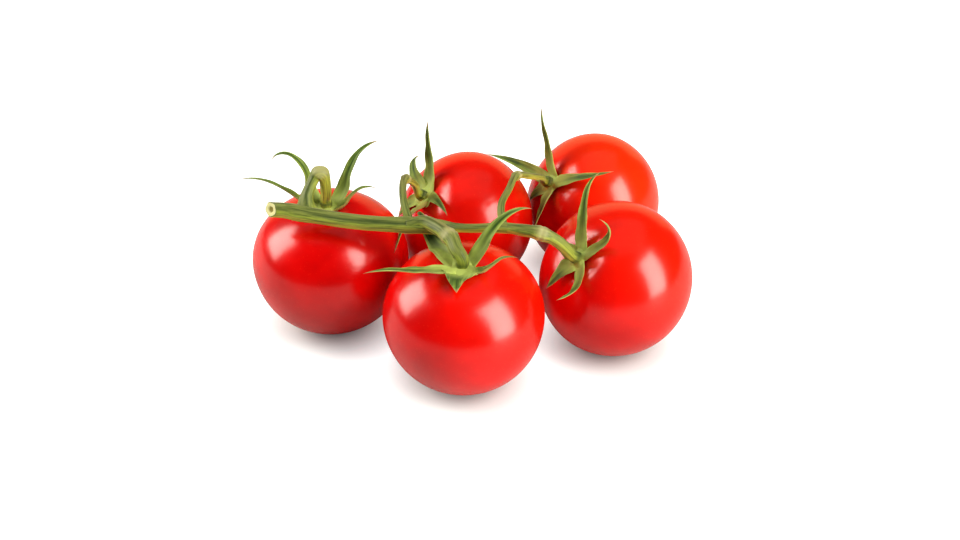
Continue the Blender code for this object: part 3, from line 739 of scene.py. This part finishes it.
def makeMainStem(route):
    # radius eases from the cut's to the far end's past the front stalk, swells at each stalk and has ribs;
    # the cut end closes inwards ring by ring to a slightly sunk pith
    curve, distance, at = smoothCurve(route)
    frontFork = at[stalks["front"]["root"]]
    thin = smoothStep(distance, frontFork - 4.0, frontFork + 5.0)
    radius = vine["cutRadius"] + (vine["farRadius"] - vine["cutRadius"]) * thin
    for stalk in stalks.values():
        radius = radius + vine["nodeSwell"] * bell(distance - at[stalk["root"]], vine["nodeSpread"])
    radius = radius * (1 - 0.25 * smoothStep(distance, distance[-1] - 3.0, distance[-1]))
    around = np.linspace(0.0, 2 * math.pi, vine["around"], endpoint=False)[None, :]
    ribs = 1.0 + vine["ribShare"] * (np.cos(vine["ribs"] * around + 0.03 * distance[:, None]) - 1.0)
    radii = radius[:, None] * ribs
    offsets, spoke, along = ringsRound(curve, radii, around)
    tilt = np.arctan2(spoke[..., 2], -spoke[..., 1])
    reach = smoothStep(distance, 8.0, 14.0) * (1 - smoothStep(distance, frontFork + 2, frontFork + 8))
    groove = bell(tilt - vine["creaseTilt"], 0.22) * reach[:, None]
    rings = curve[:, None, :] + offsets * (1 - vine["crease"] * groove)[..., None]
    cutFacing = np.array(vine["cutFacing"])
    slant = -(offsets @ cutFacing) / (along[0] @ cutFacing)
    rings = rings + along[0] * (slant * (1 - smoothStep(distance, 0.0, 6.0))[:, None])[..., None]
    # the crease is darkened in colour too, by 0.7 of its share: painted shade in the crease
    marks = barkMarks(spoke, radii, around, distance, 0 * distance, 0.7 * groove)

    # the cut: share of the radius and how deep each ring of it lies
    shares = np.array([0.1, 0.3, 0.42, 0.5, 0.8, 0.93])[:, None]
    depth = np.array([0.35, 0.3, 0.12, 0.0, 0.0, 0.02])[:, None, None]
    face = curve[0] + (rings[0] - curve[0]) * shares[..., None] + along[0] * depth
    faceTone = np.stack([0 * shares + 0 * around, 0 * shares + 0 * around, shares + 0 * around], axis=-1)
    faceGrain = marks["grain"][0] * shares[..., None]
    rings[0] = rings[0] + along[0] * 0.1
    rings = np.concatenate([face, rings])
    grain = np.concatenate([faceGrain, marks["grain"]])
    tone = np.concatenate([faceTone, marks["barkTone"]])
    part = tubePart(rings, {"grain": grain, "barkTone": tone})
    cutQuads = (len(face) - 1) * vine["around"]

    def slotOf(faces):
        # the first rows of quads and the first fan are the cut
        slots = np.zeros(len(faces), dtype=np.int32)
        slots[:cutQuads] = 1
        slots[len(part["quads"]):len(part["quads"]) + vine["around"]] = 1
        return slots

    piece = addPiece("vine_main", [part], [barkMaterial, cutMaterial], slotOf)
    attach(piece, "root")
    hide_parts("main_stem")


def makeStalk(name, route):
    # a tube from inside the main stem to the hub: it starts slim, widens along the stem into a web, swells at
    # the knuckle with a crease round it, and widens again where it meets the hub, with a band of painted
    # shade there
    stalk = stalks[name]
    axis = fruitTurn(fruits[name])[:, 2]
    seat = seats[name]
    root = route[stalk["root"]]
    beam = route[min(stalk["root"] + 1, len(route) - 1)] - route[stalk["root"] - 1]
    beam = beam / np.linalg.norm(beam)
    points = [root]
    if stalk["upstream"] > 2.0:
        rise = np.array([0.0, 0.0, stalk["crown"]])
        points = [root - beam * stalk["upstream"], root - beam * 0.4 * stalk["upstream"] + rise]
    points += [seat + np.array(offset) for offset in stalk["route"]] + [seat + vine["approach"] * axis, seat]
    curve, distance, at = smoothCurve(points)
    fromEnd = distance[-1] - distance
    away = distance - at[len(points) - len(stalk["route"]) - 2 + stalk["knuckle"]]
    middle = smoothStep(fromEnd, 1.0, 5.0)
    radius = (vine["stalkRadius"] + stalk["thicker"] * middle
              + vine["knuckleSwell"] * bell(away, vine["knuckleSpread"])
              - vine["knuckleCrease"] * bell(away, 0.35)
              + (vine["endRadius"] - vine["stalkRadius"]) * (1 - smoothStep(fromEnd, 0.5, 4.0)))
    radius = radius * (vine["rootShare"] + (1 - vine["rootShare"]) * smoothStep(distance, 0.0, 5.0))
    around = np.linspace(0.0, 2 * math.pi, vine["around"], endpoint=False)[None, :]
    ribs = 1.0 + vine["ribShare"] * (np.cos(vine["ribs"] * around + 0.05 * distance[:, None]) - 1.0)
    radii = radius[:, None] * ribs
    offsets, spoke, _ = ringsRound(curve, radii, around)
    near = bell(distance, vine["rootReach"])[:, None]
    offsets = offsets + beam * ((offsets @ beam) * stalk["web"] * near + stalk["lean"] * near)[..., None]
    rings = curve[:, None, :] + offsets
    # painted shade: a darker band round the stalk where it meets the hub
    joint = vine["jointShade"] * bell(fromEnd - vine["jointAt"], vine["jointSpread"])[:, None] + 0 * radii
    marks = barkMarks(spoke, radii, around, distance, 0.6 * bell(away, 1.2), joint)
    piece = addPiece("vine_" + name, [tubePart(rings, marks)], [barkMaterial])
    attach(piece, "root")
    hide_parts("stalk_" + name)


mainPoints = [seats[name] + np.array(offset) for name, offset in mainRoute]
makeMainStem(mainPoints)
for fruitName in fruits:
    makeStalk(fruitName, mainPoints)
print("vine: main stem and", len(stalks), "stalks")

# the studio: a white sweep lit by a soft box on either side, a low warm one behind and a weak one overhead;
# away from the object the sweep glows by itself, and its glow fades out round each fruit as a painted shadow
studio = {
    "floorSize": 3000.0,
    "floorColour": "#B8C4C2",
    "floorDrop": 0.05,  # how far the sweep lies under the fruits' flats
    "bounce": 0.15,  # share of the glow that reaches the fruits
    "floorSteps": 320,
    "glowFrom": 2.0,  # distance from where the nearest fruit rests at which the glow starts, and is full
    "glowTo": 33.0,
    "fill": 0.05,
    "target": (4.4, 24.6, 20.0),  # mm from the front fruit's centre in plan, and above the surface
    "elevation": 32.0,
    "distance": 400.0,
    "lens": 52.5,
    "boxAim": 0.02,  # m above the surface that the soft boxes face
}
# azimuth and elevation in degrees as seen from the object, distance and size in metres
softBoxes = {
    "leftBox": {"azimuth": 170, "elevation": 30, "distance": 0.60, "size": (0.34, 0.40), "radiance": 7.4,
                "tint": "#FFF8F0"},
    "rightBox": {"azimuth": -36, "elevation": 29, "distance": 0.60, "size": (0.32, 0.62), "radiance": 8.1,
                 "tint": "#FFF8F0"},
    "backBox": {"azimuth": 90, "elevation": 12, "distance": 0.80, "size": (1.4, 0.5), "radiance": 0.95,
                "tint": "#FFC48C"},
    "topBox": {"azimuth": 90, "elevation": 80, "distance": 0.90, "size": (0.9, 0.9), "radiance": 0.3,
               "tint": "#FFF8F0"},
}


def makeFloor():
    # a square grid, finer towards the middle by the share's fifth power, just under the fruits; its glow
    # rises with the distance from where the nearest fruit rests, so the dimmer ring round each fruit is
    # painted shadow
    share = np.linspace(-1.0, 1.0, studio["floorSteps"] + 1)
    place = studio["floorSize"] / 2 * (0.08 * share + 0.92 * share ** 5)
    x, y = np.meshgrid(place, place)
    feet = np.array([centre[:2] for centre in centres.values()])
    gap = np.hypot(x[..., None] - feet[:, 0], y[..., None] - feet[:, 1]).min(axis=-1)
    # painted shadow: no glow near where a fruit rests, full glow from glowTo on
    glow = smoothStep(gap, studio["glowFrom"], studio["glowTo"])
    row = np.arange(studio["floorSteps"])[:, None] * (studio["floorSteps"] + 1)
    corner = (row + np.arange(studio["floorSteps"])).ravel()
    below = studio["floorSteps"] + 1
    faces = np.stack([corner, corner + 1, corner + below + 1, corner + below], axis=1)
    mesh = bpy.data.meshes.new("sweep")
    points = np.stack([x, y, np.full_like(x, -studio["floorDrop"])], axis=-1).reshape(-1, 3) * mm
    mesh.from_pydata(points.tolist(), [], faces.tolist())
    mesh.attributes.new("glow", "FLOAT", "POINT").data.foreach_set("value", glow.ravel().astype(np.float32))
    material = bpy.data.materials.new("mattWhiteSweep")
    material.use_nodes = True
    tree = material.node_tree
    shader = tree.nodes["Principled BSDF"]
    lit = addNode(tree, "ShaderNodeAttribute", {"attribute_name": "glow"})
    rays = addNode(tree, "ShaderNodeLightPath")
    seen = addNode(tree, "ShaderNodeMapRange", {"To Min": studio["bounce"], "To Max": 1.0},
                   {"Value": rays.outputs["Is Camera Ray"]})
    glowing = addNode(tree, "ShaderNodeMath", {"operation": "MULTIPLY"},
                      {0: lit.outputs["Fac"], 1: seen.outputs["Result"]})
    tree.links.new(glowing.outputs[0], shader.inputs["Emission Strength"])
    shader.inputs["Emission Color"].default_value = (1.0, 1.0, 1.0, 1.0)
    shader.inputs["Base Color"].default_value = hexColour(studio["floorColour"])
    shader.inputs["Roughness"].default_value = 0.6
    shader.inputs["Specular IOR Level"].default_value = 0.2
    mesh.materials.append(material)
    floor = bpy.data.objects.new("sweep", mesh)
    bpy.context.scene.collection.objects.link(floor)


def makeSoftBox(name, box):
    # an area light that faces the object; its power = pi times its area times its radiance
    azimuth, elevation = math.radians(box["azimuth"]), math.radians(box["elevation"])
    toward = Vector((math.cos(elevation) * math.cos(azimuth), math.cos(elevation) * math.sin(azimuth),
                     math.sin(elevation)))
    light = bpy.data.lights.new(name, "AREA")
    light.shape = "RECTANGLE"
    light.size, light.size_y = box["size"]
    light.color = hexColour(box["tint"])[:3]
    light.energy = math.pi * box["size"][0] * box["size"][1] * box["radiance"]
    lamp = bpy.data.objects.new(name, light)
    lamp.location = toward * box["distance"] + Vector((0.0, 0.0, studio["boxAim"]))
    lamp.rotation_euler = toward.to_track_quat("Z", "Y").to_euler()
    bpy.context.scene.collection.objects.link(lamp)


def makeWorld():
    # dim white all round as fill; where it is seen directly it is white like the sweep
    world = bpy.data.worlds.new("studioRoom")
    world.use_nodes = True
    tree = world.node_tree
    rays = addNode(tree, "ShaderNodeLightPath")
    level = addNode(tree, "ShaderNodeMapRange", {"To Min": studio["fill"], "To Max": 1.0},
                    {"Value": rays.outputs["Is Camera Ray"]})
    background = tree.nodes["Background"]
    background.inputs["Color"].default_value = (1.0, 1.0, 1.0, 1.0)
    tree.links.new(level.outputs["Result"], background.inputs["Strength"])
    bpy.context.scene.world = world


def makeCamera():
    # looks along +Y and down by the elevation at a point set off from the front fruit
    x, y, z = studio["target"]
    front = centres["front"]
    target = Vector((front[0] + x, front[1] + y, z)) * mm
    elevation = math.radians(studio["elevation"])
    back = Vector((0.0, -math.cos(elevation), math.sin(elevation)))
    camera = bpy.data.cameras.new("camera")
    camera.lens = studio["lens"]
    camera.sensor_width = 36.0
    camera.clip_start = 0.01
    holder = bpy.data.objects.new("camera", camera)
    holder.location = target + back * studio["distance"] * mm
    holder.rotation_euler = back.to_track_quat("Z", "Y").to_euler()
    bpy.context.scene.collection.objects.link(holder)
    bpy.context.scene.camera = holder


makeFloor()
for boxName, softBox in softBoxes.items():
    makeSoftBox(boxName, softBox)
makeWorld()
makeCamera()
bpy.context.scene.view_settings.view_transform = "Standard"
bpy.context.scene.view_settings.look = "Medium High Contrast"
print("studio: sweep, soft boxes, room and camera")
